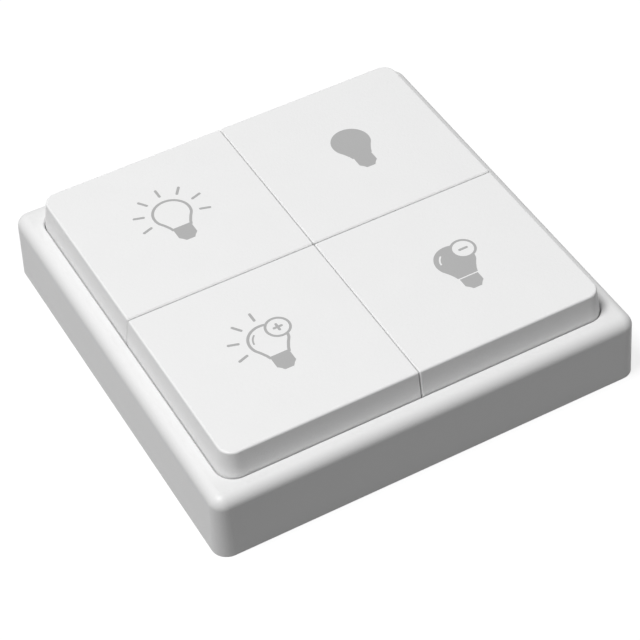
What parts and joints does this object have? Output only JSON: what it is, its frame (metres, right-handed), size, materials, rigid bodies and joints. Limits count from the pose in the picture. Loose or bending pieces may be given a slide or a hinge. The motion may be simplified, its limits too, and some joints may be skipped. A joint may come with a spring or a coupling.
{
  "type": "wireless wall switch",
  "caption": "Square battery-powered wireless wall switch: hinged keys for on, off, brighter and dimmer in a rounded white frame over a radio module and a wall plate.",
  "frame": {"origin": "middle of the flat back, in the plane that lies against the wall", "axes": "+Z out of the wall through the keys, +Y up the wall towards the on and off keys, +X to the right as the keys are read"},
  "size_m": [0.08, 0.08, 0.0177],
  "materials": {
    "frame_abs": "moulded, satin",
    "key_abs": "moulded, fine matt",
    "module_abs": "moulded, plain",
    "board_laminate": "solder resist",
    "tinned_steel": "tinned sheet",
    "cell_steel": "nickel plated",
    "spring_contact": "nickel-plated strip",
    "black_moulding": "moulded black",
    "stem_plastic": "moulded",
    "screw_steel": "zinc plated"
  },
  "bodies": {
    "housing": {"frame": "frame_abs", "module_base": "module_abs", "key_carrier": "module_abs", "wall_plate": "module_abs", "circuit_board": "board_laminate", "radio_board": "board_laminate", "radio_shield": "tinned_steel", "crystal": "tinned_steel", "coin_cell": "cell_steel", "battery_clip": "spring_contact", "negative_contact": "spring_contact", "controller_chip": "black_moulding", "tact_body_on": "black_moulding", "tact_body_off": "black_moulding", "tact_body_brighter": "black_moulding", "tact_body_dimmer": "black_moulding", "carrier_screws": "screw_steel"},
    "key_on": {"key_on": "key_abs"},
    "plunger_on": {"tact_plunger_on": "stem_plastic"},
    "key_off": {"key_off": "key_abs"},
    "plunger_off": {"tact_plunger_off": "stem_plastic"},
    "key_brighter": {"key_brighter": "key_abs"},
    "plunger_brighter": {"tact_plunger_brighter": "stem_plastic"},
    "key_dimmer": {"key_dimmer": "key_abs"},
    "plunger_dimmer": {"tact_plunger_dimmer": "stem_plastic"}
  },
  "joints": [
    {"name": "key_on_hinge", "type": "hinge", "parent": "housing", "child": "key_on", "pos_m": [0, 0.004, 0.0117], "axis": [-1, 0, 0], "range_deg": [0, 1.5], "stiffness_Nm_per_rad": 0.4, "springref_deg": -1.72},
    {"name": "plunger_on_slide", "type": "slide", "parent": "housing", "child": "plunger_on", "axis": [0, 0, -1], "range_m": [0, 0.00027]},
    {"name": "key_off_hinge", "type": "hinge", "parent": "housing", "child": "key_off", "pos_m": [0, 0.004, 0.0117], "axis": [-1, 0, 0], "range_deg": [0, 1.5], "stiffness_Nm_per_rad": 0.4, "springref_deg": -1.72},
    {"name": "plunger_off_slide", "type": "slide", "parent": "housing", "child": "plunger_off", "axis": [0, 0, -1], "range_m": [0, 0.00027]},
    {"name": "key_brighter_hinge", "type": "hinge", "parent": "housing", "child": "key_brighter", "pos_m": [0, -0.004, 0.0117], "axis": [1, 0, 0], "range_deg": [0, 1.5], "stiffness_Nm_per_rad": 0.4, "springref_deg": -1.72},
    {"name": "plunger_brighter_slide", "type": "slide", "parent": "housing", "child": "plunger_brighter", "axis": [0, 0, -1], "range_m": [0, 0.00027]},
    {"name": "key_dimmer_hinge", "type": "hinge", "parent": "housing", "child": "key_dimmer", "pos_m": [0, -0.004, 0.0117], "axis": [1, 0, 0], "range_deg": [0, 1.5], "stiffness_Nm_per_rad": 0.4, "springref_deg": -1.72},
    {"name": "plunger_dimmer_slide", "type": "slide", "parent": "housing", "child": "plunger_dimmer", "axis": [0, 0, -1], "range_m": [0, 0.00027]}
  ],
  "couplings": [
    {"joint": "plunger_on_slide", "follows": "key_on_hinge", "m_per_rad": 0.01},
    {"joint": "plunger_off_slide", "follows": "key_off_hinge", "m_per_rad": 0.01},
    {"joint": "plunger_brighter_slide", "follows": "key_brighter_hinge", "m_per_rad": 0.01},
    {"joint": "plunger_dimmer_slide", "follows": "key_dimmer_hinge", "m_per_rad": 0.01}
  ]
}
